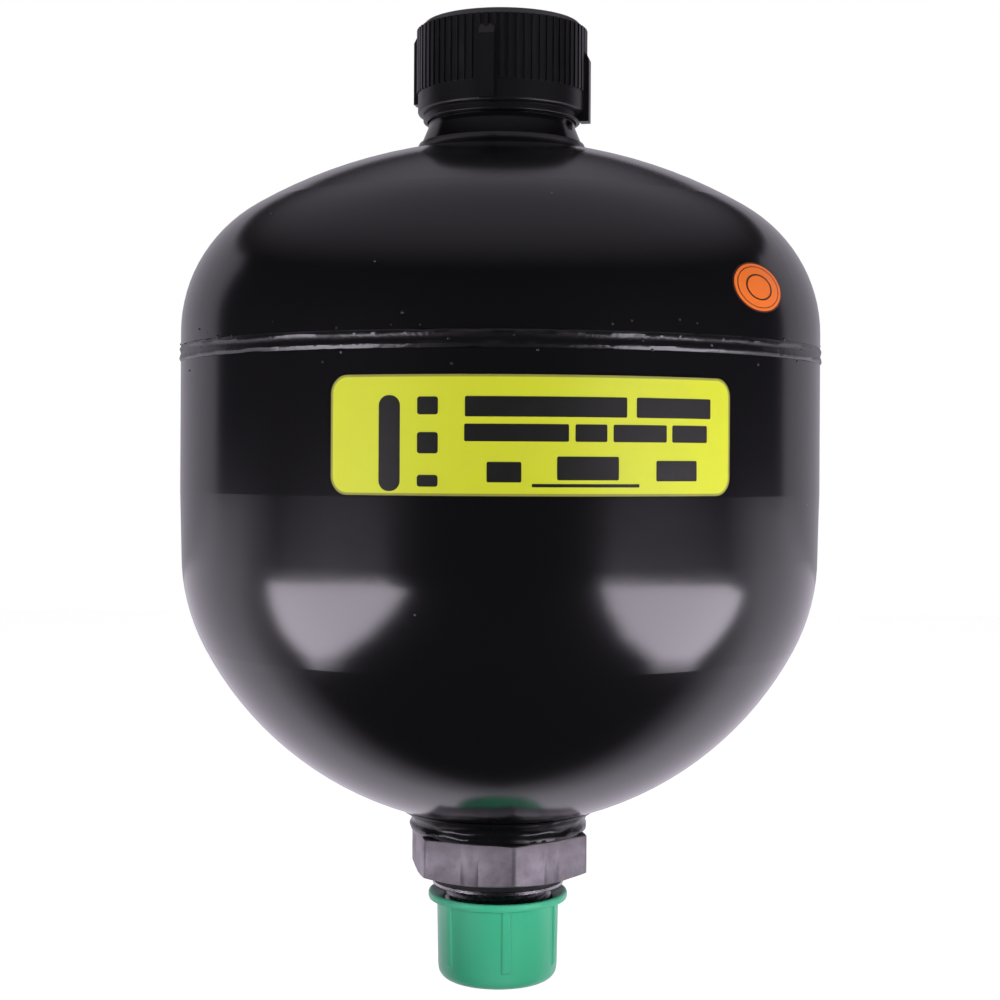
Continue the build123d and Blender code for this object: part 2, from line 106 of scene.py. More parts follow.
def clamped(level: float, low: float = 0, high: float = 1) -> float:
    """The level, kept between two limits."""
    return min(max(level, low), high)


def quads(columns: int, count: int, around: bool = False, closed: bool = True) -> list[tuple[int, ...]]:
    """Faces between neighbouring columns of points.

    Args:
        columns: Number of columns.
        count: Points in each column.
        around: Whether the last column joins the first.
        closed: Whether each column's last point joins its first.

    Returns:
        The corner numbers of each face.
    """
    faces = []
    for k in range(columns if around else columns - 1):
        here, there = k * count, (k + 1) % columns * count
        for i in range(count if closed else count - 1):
            j = (i + 1) % count
            faces.append((here + i, there + i, there + j, here + j))
    return faces


def linked(name: str, data: bpy.types.ID) -> bpy.types.Object:
    """Puts a mesh, lamp or camera into the scene.

    Args:
        name: The object's name.
        data: What it shows.

    Returns:
        The object.
    """
    piece = bpy.data.objects.new(name, data)
    bpy.context.scene.collection.objects.link(piece)
    return piece


# ---------------------------------------------------------------- shader graphs


class Value:
    """A number that changes over a surface. Arithmetic on it adds Math nodes."""

    def __init__(self, graph: "Graph", socket: bpy.types.NodeSocket) -> None:
        """Wraps an output socket.

        Args:
            graph: The graph that owns the socket.
            socket: The output socket.
        """
        self.graph = graph
        self.socket = socket

    def _math(self, operation: str, *terms: "Value | float") -> "Value":
        """One Math node on the terms, in order."""
        made = self.graph.node("ShaderNodeMath", {"operation": operation}, dict(enumerate(terms)))
        return Value(self.graph, made.outputs[0])

    def __add__(self, other: "Value | float") -> "Value":
        """Sum."""
        return self._math("ADD", self, other)

    __radd__ = __add__

    def __sub__(self, other: "Value | float") -> "Value":
        """Difference."""
        return self._math("SUBTRACT", self, other)

    def __rsub__(self, other: float) -> "Value":
        """Difference from a number."""
        return self._math("SUBTRACT", other, self)

    def __mul__(self, other: "Value | float") -> "Value":
        """Product."""
        return self._math("MULTIPLY", self, other)

    __rmul__ = __mul__

    def __truediv__(self, other: "Value | float") -> "Value":
        """Quotient."""
        return self._math("DIVIDE", self, other)

    def __rtruediv__(self, other: float) -> "Value":
        """Quotient of a number by this."""
        return self._math("DIVIDE", other, self)

    def __abs__(self) -> "Value":
        """Size without its sign."""
        return self._math("ABSOLUTE", self)

    def __lt__(self, edge: float) -> "Value":
        """1 where this is below an edge."""
        return self._math("LESS_THAN", self, edge)


class Graph:
    """Node tree of one material or of the world, in coordinates that stay with the piece."""

    def __init__(self, name: str, store: bpy.types.bpy_prop_collection | None = None) -> None:
        """Starts an empty tree.

        Args:
            name: The name of the material or world.
            store: Where it is kept, if it isn't a material.
        """
        self.owner = (bpy.data.materials if store is None else store).new(name)
        self.owner.use_nodes = True
        self.tree = self.owner.node_tree
        self.tree.nodes.clear()
        self.place = self.node("ShaderNodeTexCoord").outputs["Object"]

    def node(self, kind: str, settings: dict | None = None, sockets: dict | None = None) -> bpy.types.Node:
        """Adds any node.

        Args:
            kind: The node's type.
            settings: Its own settings, set first. A ramp's "stops" are (position, level) pairs.
            sockets: Values or links of its inputs, by name or number.

        Returns:
            The node.
        """
        made = self.tree.nodes.new(kind)
        for name, setting in (settings or {}).items():
            if name == "stops":
                self._set_stops(made.color_ramp, setting)
            else:
                setattr(made, name, setting)
        for name, given in (sockets or {}).items():
            self._plug(made.inputs[name], given)
        return made

    @staticmethod
    def _set_stops(ramp: bpy.types.ColorRamp, stops: Sequence[Point]) -> None:
        """Gives a ramp its grey stops.

        Args:
            ramp: The ramp.
            stops: Position and level of each.
        """
        while len(ramp.elements) < len(stops):
            ramp.elements.new(1)
        for element, (position, level) in zip(ramp.elements, stops):
            element.position = position
            element.color = (level, level, level, 1)

    def _plug(self, target: bpy.types.NodeSocket, given: object) -> None:
        """Links or sets one input.

        Args:
            target: The input.
            given: A value, a link, a colour or a number.
        """
        if isinstance(given, Value):
            self.tree.links.new(given.socket, target)
        elif isinstance(given, bpy.types.NodeSocket):
            self.tree.links.new(given, target)
        elif isinstance(given, tuple) and target.type == "RGBA":
            target.default_value = (*given, 1)
        else:
            target.default_value = given

    def stretched(self, scale: Place) -> bpy.types.NodeSocket:
        """The piece's coordinates, scaled along each axis."""
        settings = {"operation": "MULTIPLY"}
        return self.node("ShaderNodeVectorMath", settings, {0: self.place, 1: scale}).outputs[0]

    def grain(self, size: float, detail: float = 2.0, scale: Place = (1, 1, 1), soft: float = 0.5) -> Value:
        """Cloudy noise.

        Args:
            size: Size of the largest clouds, in metres.
            detail: Number of finer layers.
            scale: Stretch along each axis.
            soft: Share that each finer layer keeps.

        Returns:
            The noise, 0 to 1.
        """
        sockets = {"Vector": self.stretched(scale), "Scale": 1 / size, "Detail": detail, "Roughness": soft}
        return Value(self, self.node("ShaderNodeTexNoise", {}, sockets).outputs[0])

    def specks(self, spacing: float, share: float, radius: float) -> Value:
        """Mask of scattered round specks.

        Args:
            spacing: Mean distance between places for a speck, in metres.
            share: Share of the places that hold one.
            radius: Radius of a speck, as a share of the spacing.

        Returns:
            1 inside a speck.
        """
        cells = self.node("ShaderNodeTexVoronoi", {}, {"Vector": self.place, "Scale": 1 / spacing})
        split = self.node("ShaderNodeSeparateColor", {}, {0: cells.outputs["Color"]})
        chosen = Value(self, split.outputs[0]) < share
        return (Value(self, cells.outputs["Distance"]) < radius) * chosen

    def ramp(self, value: Value, *stops: Point) -> Value:
        """Passes a value through a curve of (position, level) stops."""
        return Value(self, self.node("ShaderNodeValToRGB", {"stops": stops}, {0: value}).outputs[0])

    def tint(self, factor: Value, first: object, second: object) -> bpy.types.NodeSocket:
        """Colour that goes from the first to the second with a factor."""
        settings = {"data_type": "RGBA"}
        return self.node("ShaderNodeMix", settings, {0: factor, 6: first, 7: second}).outputs[2]

    def relief(self, level: Value, depth: float, strength: float = 1.0) -> bpy.types.NodeSocket:
        """Normal of a bumpy surface.

        Args:
            level: The bumps, 0 to 1.
            depth: Their depth in metres.
            strength: Share of the effect.

        Returns:
            The normal.
        """
        sockets = {"Height": level, "Distance": depth, "Strength": strength}
        return self.node("ShaderNodeBump", {}, sockets).outputs[0]

    def skin(self, **inputs: object) -> bpy.types.Material:
        """Finishes the material with one surface shader.

        Args:
            inputs: The shader's inputs, with _ for each space.

        Returns:
            The material.
        """
        sockets = {name.replace("_", " "): given for name, given in inputs.items()}
        shader = self.node("ShaderNodeBsdfPrincipled", {}, sockets)
        self.node("ShaderNodeOutputMaterial", {}, {"Surface": shader.outputs[0]})
        return self.owner

    def between(self, factor: object, first: bpy.types.Node, second: bpy.types.Node) -> bpy.types.Node:
        """Shader that goes from the first to the second with a factor."""
        sockets = {0: factor, 1: first.outputs[0], 2: second.outputs[0]}
        return self.node("ShaderNodeMixShader", {}, sockets)

    def glow(self, colour: Colour, strength: float) -> bpy.types.Node:
        """Shader that shines evenly."""
        return self.node("ShaderNodeEmission", {}, {0: colour, 1: strength})


# ---------------------------------------------------------------- finishes


@dataclass(frozen=True)
class GlossPaint:
    """Sprayed black enamel with faint orange peel and dust caught in it."""

    name: str
    colour: Colour = (0.0042, 0.0040, 0.0048)
    dust: Colour = linear(96, 90, 98)
    roughness: float = 0.17
    peel: float = 2.4 * MM
    peel_depth: float = 0.006 * MM
    grit_depth: float = 0.0

    def make(self) -> bpy.types.Material:
        """Builds the material."""
        graph = Graph(self.name)
        motes = graph.specks(9 * MM, 0.30, 0.035)
        clouds = graph.grain(38 * MM, 3)
        peel = graph.grain(self.peel, 2) + graph.grain(0.9 * MM, 2) * self.grit_depth
        return graph.skin(
            Base_Color=graph.tint(motes, self.colour, self.dust),
            Roughness=self.roughness + (clouds - 0.5) * 0.08 + motes * 0.3,
            Normal=graph.relief(peel + motes * 4.0, self.peel_depth),
            Specular_IOR_Level=0.62,
        )


@dataclass(frozen=True)
class MachinedSteel:
    """Turned or milled steel with a dull oxide tone, tool marks and small stains."""

    name: str
    colour: Colour
    stain: Colour
    metallic: float = 0.7
    roughness: float = 0.42
    mark_stretch: Place = (1, 1, 9)

    def make(self) -> bpy.types.Material:
        """Builds the material."""
        graph = Graph(self.name)
        blotches = graph.ramp(graph.grain(6 * MM, 4, soft=0.6), (0.38, 0), (0.72, 1))
        marks = graph.grain(1.6 * MM, 3, self.mark_stretch)
        pits = graph.specks(2.2 * MM, 0.22, 0.10)
        return graph.skin(
            Base_Color=graph.tint(blotches * 0.55 + pits * 0.4, self.colour, self.stain),
            Metallic=self.metallic,
            Roughness=self.roughness + (marks - 0.5) * 0.22 + blotches * 0.08,
            Normal=graph.relief(marks - pits * 0.6, 0.02 * MM, 0.6),
        )


@dataclass(frozen=True)
class MouldedPlastic:
    """Injection-moulded plastic with a fine texture and slight flow clouds."""

    name: str
    colour: Colour
    shade: Colour
    roughness: float = 0.4
    texture_depth: float = 0.012 * MM
    scatter: float = 0.0

    def make(self) -> bpy.types.Material:
        """Builds the material."""
        graph = Graph(self.name)
        flow = graph.ramp(graph.grain(9 * MM, 3, (1, 1, 0.35)), (0.35, 0), (0.7, 1))
        texture = graph.grain(0.35 * MM, 2)
        scuffs = graph.ramp(graph.grain(2.6 * MM, 4, (1, 1, 0.3), 0.65), (0.56, 0), (0.74, 1))
        return graph.skin(
            Base_Color=graph.tint(flow * 0.6, self.colour, self.shade),
            Roughness=self.roughness + (texture - 0.5) * 0.12 + scuffs * 0.14,
            Normal=graph.relief(texture + flow * 0.4, self.texture_depth),
            Subsurface_Weight=self.scatter,
            Subsurface_Scale=2 * MM,
        )


@dataclass(frozen=True)
class Rubber:
    """Black elastomer with bloom and a moulded grain."""

    name: str
    colour: Colour = (0.012, 0.012, 0.013)
    bloom: Colour = (0.06, 0.06, 0.062)

    def make(self) -> bpy.types.Material:
        """Builds the material."""
        graph = Graph(self.name)
        bloom = graph.ramp(graph.grain(5 * MM, 4, soft=0.6), (0.45, 0), (0.8, 1))
        grain = graph.grain(0.5 * MM, 3)
        return graph.skin(
            Base_Color=graph.tint(bloom * 0.5, self.colour, self.bloom),
            Roughness=0.62 + (grain - 0.5) * 0.2,
            Normal=graph.relief(grain, 0.03 * MM),
        )


@dataclass(frozen=True)
class PrintedFilm:
    """Printed self-adhesive film: even colour, a soft sheen and slight waviness."""

    name: str
    colour: Colour
    worn: Colour
    roughness: float = 0.34

    def make(self) -> bpy.types.Material:
        """Builds the material."""
        graph = Graph(self.name)
        waves = graph.grain(14 * MM, 2)
        fade = graph.ramp(graph.grain(7 * MM, 4, soft=0.62), (0.5, 0), (0.85, 1))
        fibre = graph.grain(0.25 * MM, 2)
        return graph.skin(
            Base_Color=graph.tint(fade * 0.5, self.colour, self.worn),
            Roughness=self.roughness + (fibre - 0.5) * 0.1,
            Normal=graph.relief(waves * 3 + fibre * 0.2, 0.02 * MM),
        )


class Finish(Enum):
    """Every finish on the accumulator, by its slot's name or the print's colour."""

    VESSEL_PAINT = GlossPaint("vessel_paint")
    WELD_PAINT = GlossPaint(
        "weld_paint", roughness=0.3, peel=1.3 * MM, peel_depth=0.05 * MM, grit_depth=0.8
    )
    PORT_WELD_PAINT = GlossPaint(
        "port_weld_paint", roughness=0.27, peel=2.6 * MM, peel_depth=0.03 * MM, grit_depth=0.2
    )
    PORT_STEEL = MachinedSteel("port_steel", linear(158, 151, 159), linear(92, 86, 94), 0.6)
    TURNED_STEEL = MachinedSteel(
        "turned_steel", linear(172, 168, 172), linear(118, 114, 118), 1.0, 0.24, (1, 1, 14)
    )
    RING_STEEL = MachinedSteel("ring_steel", linear(150, 150, 152), linear(96, 94, 92), 1.0, 0.36)
    SCREW_STEEL = MachinedSteel("screw_steel", linear(74, 72, 74), linear(40, 38, 38), 0.85, 0.38)
    POPPET_ALLOY = MachinedSteel("poppet_alloy", linear(190, 192, 196), linear(140, 142, 146), 1.0, 0.3)
    BLACK_PLASTIC = MouldedPlastic(
        "black_plastic", (0.0062, 0.0060, 0.0074), (0.0088, 0.0086, 0.0100), 0.36
    )
    GREEN_PLASTIC = MouldedPlastic(
        "green_plastic", linear(82, 216, 166), linear(108, 222, 182), 0.3, 0.008 * MM, 0.05
    )
    SEAL_RUBBER = Rubber("seal_rubber")
    DIAPHRAGM_RUBBER = Rubber("diaphragm_rubber", (0.016, 0.016, 0.017))
    LABEL_FILM = PrintedFilm("label_film", linear(207, 216, 50), linear(199, 209, 61))
    LABEL_EDGE = PrintedFilm("label_edge", linear(146, 148, 62), linear(126, 128, 58), 0.5)
    BLACK_INK = PrintedFilm("black_ink", (0.010, 0.010, 0.009), (0.022, 0.022, 0.018), 0.4)
    STICKER_FILM = PrintedFilm("sticker_film", linear(232, 118, 46), linear(218, 104, 42))
    STICKER_INK = PrintedFilm("sticker_ink", linear(58, 34, 24), linear(78, 44, 28), 0.4)


class Palette:
    """Makes each finish once and puts it on pieces."""

    def __init__(self) -> None:
        """Builds every finish."""
        self.made = {finish: finish.value.make() for finish in Finish}

    def dress(self, piece: bpy.types.Object, finish: Finish) -> None:
        """Gives a piece a finish all over."""
        piece.data.materials.clear()
        piece.data.materials.append(self.made[finish])

    def dress_node(self, node: str, finish: Finish) -> None:
        """Gives a solid of the frame a finish, in its own material slots.

        Args:
            node: The solid's name.
            finish: Its finish.
        """
        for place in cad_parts[node].material_slots:
            place.material = self.made[finish]
        log.info("dressed %s with %s", node, finish.name.lower())


# ---------------------------------------------------------------- mesh making


class Shop:
    """Makes meshes in metres, in the part's own frame, and puts them on their bodies."""

    def __init__(self, palette: Palette) -> None:
        """Keeps the finishes to hand.

        Args:
            palette: The finishes.
        """
        self.palette = palette

    @staticmethod
    def mesh(name: str, points: Sequence[Sequence[float]], faces: Sequence[Sequence[int]],
             crease: float = 34.0) -> bpy.types.Object:
        """Makes an object from points and faces, smooth but for its sharp edges.

        Args:
            name: The piece's name.
            points: Corners in metres.
            faces: Corner numbers of each face.
            crease: Angle above which an edge stays sharp, in degrees.

        Returns:
            The object.
        """
        data = bpy.data.meshes.new(name)
        data.from_pydata([tuple(p) for p in points], [], [tuple(f) for f in faces])
        data.polygons.foreach_set("use_smooth", [True] * len(data.polygons))
        data.set_sharp_from_angle(angle=math.radians(crease))
        data.update()
        return linked(name, data)

    def turned(self, name: str, outline: Sequence[Point], segments: int = 192,
               warp: Warp | None = None) -> bpy.types.Object:
        """Turns a closed outline round the axis.

        Args:
            name: The piece's name.
            outline: Closed outline in radius and height, in metres, anticlockwise.
            segments: Facets round the axis.
            warp: Moves a point, given its turn in radians, radius and height.

        Returns:
            The object.
        """
        points = []
        for k in range(segments):
            turn = math.tau * k / segments
            for radius, height in outline:
                if warp:
                    radius, height = warp(turn, radius, height)
                points.append(spun(turn, radius, height))
        return self.mesh(name, points, quads(segments, len(outline), around=True))

    def threaded(self, name: str, crest_r: float, depth: float, pitch: float, low: float,
                 high: float, hole_r: float, lead: float = 1.0, segments: int = 96) -> bpy.types.Object:
        """Makes a sleeve with a helical thread round its outside.

        Args:
            name: The piece's name.
            crest_r, depth, pitch: The thread's sizes in metres. A negative depth cuts it inside.
            low, high: Levels of its ends.
            hole_r: Radius of the plain side.
            lead: Length of the chamfer at each end, in pitches.
            segments: Facets round the axis.

        Returns:
            The object.
        """
        steps = ((0.0, 0.0), (0.16, 0.0), (0.44, 1.0), (0.56, 1.0), (0.84, 0.0))
        rows = [(turn + share, cut) for turn in range(-1, math.ceil((high - low) / pitch) + 1)
                for share, cut in steps]
        points = []
        for k in range(segments + 1):
            turn = math.tau * k / segments
            for along, cut in rows:
                height = clamped(low + (along + k / segments) * pitch, low, high)
                end = min(height - low, high - height) / (lead * pitch)
                radius = crest_r - depth * max(cut, 1 - min(end, 1))
                points.append(spun(turn, radius, height))
            points += [spun(turn, hole_r, height) for height in (high, low)]
        faces = quads(segments + 1, len(rows) + 2)
        if depth < 0:
            faces = [face[::-1] for face in faces]
        return self.mesh(name, points, faces)

    def patch(self, name: str, radius: float, azimuths: Point, levels: Point, corner: float,
              thickness: float, columns: int = 48, corner_steps: int = 8) -> bpy.types.Object:
        """Makes a film with rounded corners that follows a round wall.

        Args:
            name: The piece's name.
            radius: Radius of its face in metres.
            azimuths: Its two sides, in degrees.
            levels: Its lower and upper edge.
            corner: Radius of its corners.
            thickness: How deep its rim goes towards the axis.
            columns: Facets along it.
            corner_steps: Facets along each corner.

        Returns:
            The object.
        """
        left, right = (math.radians(a) * radius for a in azimuths)
        low, high = levels
        straight, quarter = right - left - 2 * corner, math.pi / 2 / corner_steps
        stations = [left + corner * (1 - math.cos(quarter * k)) for k in range(corner_steps)]
        stations += [left + corner + straight * k / columns for k in range(columns + 1)]
        stations += [right - corner * (1 - math.sin(quarter * k)) for k in range(1, corner_steps + 1)]
        points = []
        for along in stations:
            inside = max(corner - min(along - left, right - along), 0)
            drop = corner - math.sqrt(max(corner**2 - inside**2, 0))
            under, over = low + drop, high - drop
            for depth, height in ((thickness, under), (0, under), (0, over), (thickness, over)):
                points.append(spun(along / radius, radius - depth, height))
        last = len(points) - 1
        faces = quads(len(stations), 4, closed=False)
        faces += [(0, 1, 2, 3), (last, last - 1, last - 2, last - 3)]
        return self.mesh(name, points, faces)

    def hang(self, piece: bpy.types.Object, body: str, finish: Finish, slot: str,
             *nodes: str) -> None:
        """Dresses a piece, puts it on its body and hides the solids it stands for.

        Args:
            piece: The piece.
            body: The body it moves with.
            finish: Its finish.
            slot: The slot for that finish; it is not used.
            nodes: The frame's solids that it replaces.
        """
        self.palette.dress(piece, finish)
        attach(piece, body)
        if nodes:
            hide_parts(*nodes)
        log.info("made %s on %s", piece.name, body)


# ---------------------------------------------------------------- the vessel


@dataclass
class Welds:
    """The girth weld with its spatter, and the weld round the port's neck."""

    shop: Shop
    bead_proud: float = 0.45 * MM
    ripple: float = 1.5 * MM
    spatter_count: int = 70
    spatter_seed: int = 7
    spatter_reach: float = 2.2 * MM
    drop_size: Point = (0.14 * MM, 0.42 * MM)
    drop_rings: tuple[Point, ...] = ((1.0, -0.15), (0.8, 0.45), (0.42, 0.78))
    drop_sides: int = 10
    neck_r: float = 19.5 * MM
    lip_r: float = 21.4 * MM
    port_weld_h: float = 6.0 * MM
    # reach beyond the lip and rise above the hex, in mm
    port_weld_swell: tuple[Point, ...] = (
        (0.50, 0.25), (0.86, 0.7), (0.98, 1.25), (0.86, 1.8), (0.62, 2.3), (0.50, 2.8), (0.58, 3.3),
        (0.86, 3.8), (1.35, 4.3), (2.0, 4.8), (2.8, 5.3), (3.3, 5.8),
    )
    lumpy_h: float = 5.2 * MM

    def build(self) -> None:
        """Makes the welds."""
        self.girth_bead()
        self.spatter()
        self.port_bead()

    def _girth_levels(self) -> Place:
        """Lower toe, upper toe and outer radius of the girth weld."""
        low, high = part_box("girth_weld")
        return low.z, high.z, high.x

    def girth_bead(self) -> None:
        """Bead with a raised lower toe, a thin upper toe and a groove between them."""
        low, high, outer_r = self._girth_levels()
        wall_r, mid = outer_r - self.bead_proud, (low + high) / 2
        root_r = wall_r - 4 * MM
        shares = (0, 0.1, 0.22, 0.34, 0.46, 0.58, 0.7, 0.82, 0.92, 1)
        swells = (-0.2, 0.5, 0.95, 0.6, 0.15, 0.1, 0.35, 0.75, 0.35, -0.2)
        outline = [(wall_r + swell * self.bead_proud, low + (high - low) * share)
                   for share, swell in zip(shares, swells)]
        outline += [(root_r, mid + 0.6 * MM), (root_r, mid - 0.6 * MM)]

        def lumps(turn: float, radius: float, height: float) -> Point:
            """Gives the bead its ripples, lumps and wandering line.

            Args:
                turn, radius, height: A point of the smooth bead.

            Returns:
                Its radius and height.
            """
            if radius < wall_r - MM:
                return radius, height
            place = Vector((math.cos(turn), math.sin(turn), height / (6 * MM)))
            rise = max(radius - wall_r, 0)
            lump = noise.noise(place * 14) * 0.5 + noise.noise(place * 42) * 0.45
            phase = (turn * wall_r + 0.5 * abs(height - mid)) / self.ripple * math.tau
            radius += rise * (0.55 * lump - 0.22 + 0.10 * math.sin(phase))
            wander = noise.noise(place * 5) * 0.22 * MM + noise.noise(place * 23) * 0.16 * MM
            return min(radius, outer_r), clamped(height + wander, low, high)

        bead = self.shop.turned("girth_weld_bead", outline, 960, lumps)
        self.shop.hang(bead, "vessel", Finish.WELD_PAINT, "weld_paint", "girth_weld")

    def spatter(self) -> None:
        """Small flattened drops of weld metal caught beside the bead."""
        low, high, outer_r = self._girth_levels()
        wall_r = outer_r - self.bead_proud
        chance = random.Random(self.spatter_seed)
        points, faces = [], []
        sides = self.drop_sides
        for _ in range(self.spatter_count):
            out = bearing(chance.uniform(-180, 180))
            side = Vector((-out.y, out.x, 0))
            level = (high if chance.random() < 0.6 else low) + chance.gauss(0, 1) * self.spatter_reach
            size = chance.uniform(*self.drop_size)
            first = len(points)
            for spread, rise in self.drop_rings:
                for k in range(sides):
                    turn = math.tau * k / sides
                    up = Vector((0, 0, level + math.sin(turn) * spread * size))
                    aside = side * (math.cos(turn) * spread * size)
                    points.append(out * (wall_r + rise * size * 0.8) + aside + up)
            drop = [face[::-1] for face in quads(len(self.drop_rings), sides)]
            drop.append(range(len(points) - first - sides, len(points) - first))
            faces += [[first + corner for corner in face] for face in drop]
        drops = self.shop.mesh("girth_weld_spatter", points, faces, 60)
        self.shop.hang(drops, "vessel", Finish.WELD_PAINT, "weld_paint")

    def port_bead(self) -> None:
        """Glossy bead that bulges over the hex, then sweeps out on to the lower shell."""
        low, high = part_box("fluid_port_weld")
        foot = low.z
        outline = [(self.neck_r, foot), (self.lip_r, foot)]
        outline += [(self.lip_r + reach * MM, foot + rise * MM) for reach, rise in self.port_weld_swell]
        outline.append((self.neck_r, foot + self.port_weld_h))

        def lumps(turn: float, radius: float, height: float) -> Point:
            """Gives the weld its lumps and runs, none at its ends.

            Args:
                turn, radius, height: A point of the smooth weld.

            Returns:
                Its radius and height.
            """
            if radius < self.lip_r:
                return radius, height
            share = clamped((height - foot) / self.lumpy_h)
            place = Vector((math.cos(turn), math.sin(turn), height / (7 * MM)))
            lump = noise.noise(place * 2.6) * 0.34 + noise.noise(place * 6) * 0.22
            lump += noise.noise(place * 17) * 0.05
            return min(radius + lump * MM * max(math.sin(share * math.pi), 0) ** 0.5, high.x), height

        bead = self.shop.turned("port_weld_bead", outline, 360, lumps)
        self.shop.hang(bead, "vessel", Finish.PORT_WELD_PAINT, "weld_paint", "fluid_port_weld")


@dataclass
class Diaphragm:
    """The moulded membrane, copied from its solid."""

    shop: Shop
    keep: float = 0.08

    def build(self) -> None:
        """Copies the membrane's form and puts it on the vessel."""
        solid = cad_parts["diaphragm"]
        membrane = linked("diaphragm_membrane", solid.data.copy())
        self.shop.hang(membrane, "vessel", Finish.DIAPHRAGM_RUBBER, "diaphragm_rubber", "diaphragm")
        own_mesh(membrane)


@dataclass
class FluidPort:
    """Hex port dressed over its solid: the same turned form, with a real thread on its stud."""

    shop: Shop
    across_flats: float = 41.0 * MM
    corner_azimuth: float = 10.0
    chamfer: float = 0.9 * MM
    chamfer_foot: float = 0.12 * MM
    edge: float = 0.15 * MM
    collar_edge: float = 0.2 * MM
    corner_break: float = 0.25 * MM
    neck_r: float = 19.5 * MM
    collar_r: float = 17.0 * MM
    land_step: float = 0.4 * MM
    groove_r: float = 15.2 * MM
    groove_w: float = 1.1 * MM
    low_land_h: float = 1.1 * MM
    stud_r: float = 13.5 * MM
    collar_h: float = 3.1 * MM
    relief_w: float = 0.7 * MM
    relief_r: float = 12.7 * MM
    bore_r: float = 7.0 * MM
    pocket_r: float = 12.8 * MM
    dish_fall: float = 1.41 * MM
    pitch: float = 2.0 * MM
    thread_depth: float = 1.1 * MM

    def build(self) -> None:
        """Makes the body, the collar and the threaded stud."""
        self.body()
        self.collar()
        self.stud()

    def _flat_r(self, turn: float) -> float:
        """Distance from the axis to the hex's side, with its corners just broken.

        Args:
            turn: Where round the axis, in radians.

        Returns:
            The distance.
        """
        from_flat = (math.degrees(turn) - self.corner_azimuth) % 60 - 30
        corner_r = self.across_flats / math.sqrt(3) - self.corner_break
        return min(self.across_flats / 2 / math.cos(math.radians(from_flat)), corner_r)

    def body(self) -> None:
        """Hex and neck, with the seat and the bore inside."""
        _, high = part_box("fluid_port")
        hex_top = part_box("fluid_port_weld")[0].z
        seat, full_r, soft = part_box("poppet_button")[0].z, self.across_flats, self.edge
        outline = [
            (self.bore_r, 0), (self.across_flats / 2, 0), (full_r, self.chamfer),
            (full_r, hex_top - 2 * soft), (full_r, hex_top), (self.neck_r, hex_top),
            (self.neck_r, high.z), (self.pocket_r, high.z - self.dish_fall), (self.pocket_r, seat),
            (self.bore_r, seat),
        ]
        flat = self.across_flats / 2
        corner_r = self.across_flats / math.sqrt(3)

        def to_hex(turn: float, radius: float, height: float) -> Point:
            """Brings the outermost points in to the hex and its turned chamfer.

            Args:
                turn, radius, height: A point of the round blank.

            Returns:
                Its radius and height.
            """
            if radius < full_r:
                return radius, height
            side = self._flat_r(turn)
            if height < 2 * self.chamfer:
                return side, self.chamfer * (side - flat) / (corner_r - flat) + self.chamfer_foot
            return side - (soft if height == hex_top else 0), height

        body = self.shop.turned("port_body", outline, 360, to_hex)
        self.shop.hang(body, "vessel", Finish.PORT_STEEL, "port_steel", "fluid_port")

    def collar(self) -> None:
        """Turned collar: a wide land, the seal's groove, a narrower land and the relief over the stud."""
        bottom, groove_low = -self.collar_h - self.relief_w, self.low_land_h - self.collar_h
        groove_high, low_land_r = groove_low + self.groove_w, self.collar_r - self.land_step
        soft = self.collar_edge
        outline = [
            (self.bore_r, bottom), (self.relief_r, bottom), (self.relief_r, -self.collar_h),
            (low_land_r - soft, -self.collar_h), (low_land_r, -self.collar_h + soft),
            (low_land_r, groove_low - soft), (low_land_r - soft, groove_low),
            (self.groove_r, groove_low), (self.groove_r, groove_high),
            (self.collar_r - soft, groove_high), (self.collar_r, groove_high + soft), (self.collar_r, -soft),
            (self.collar_r - soft, 0), (self.bore_r, 0),
        ]
        collar = self.shop.turned("port_collar", outline, 240)
        self.shop.hang(collar, "vessel", Finish.TURNED_STEEL, "port_steel")

    def stud(self) -> None:
        """Stud with its thread, from the relief down to the chamfered end."""
        low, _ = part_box("fluid_port")
        top = -self.collar_h - self.relief_w
        stud = self.shop.threaded("port_stud_thread", self.stud_r, self.thread_depth, self.pitch,
                                  low.z, top, self.bore_r)
        self.shop.hang(stud, "vessel", Finish.TURNED_STEEL, "port_steel")


